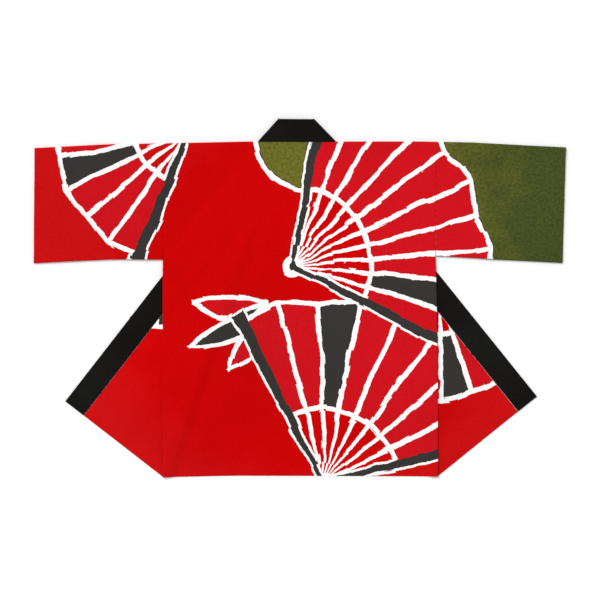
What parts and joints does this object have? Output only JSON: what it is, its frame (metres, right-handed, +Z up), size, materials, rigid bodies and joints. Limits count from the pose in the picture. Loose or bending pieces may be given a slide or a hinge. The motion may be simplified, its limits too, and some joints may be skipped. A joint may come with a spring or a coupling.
{
  "type": "happi coat",
  "caption": "Red cotton happi coat laid flat on its front, back uppermost, with wide straight sleeves, both fronts folded out beneath the back and a black collar band.",
  "frame": {"origin": "centre of the bounding box in plan, on the surface that the coat lies on", "axes": "+X toward the wearer's right sleeve and +Y toward the nape, as the coat lies on its front; +Z up from the surface"},
  "size_m": [1.3282, 0.8972, 0.0078],
  "materials": {
    "red_cloth": "matte plain-weave cotton, printed",
    "black_cloth": "matte cotton, doubled and stiffened"
  },
  "bodies": {
    "root": {"back": "red_cloth", "front_left": "red_cloth", "front_right": "red_cloth", "sleeve_left": "red_cloth", "sleeve_right": "red_cloth", "collar": "black_cloth"}
  },
  "joints": []
}
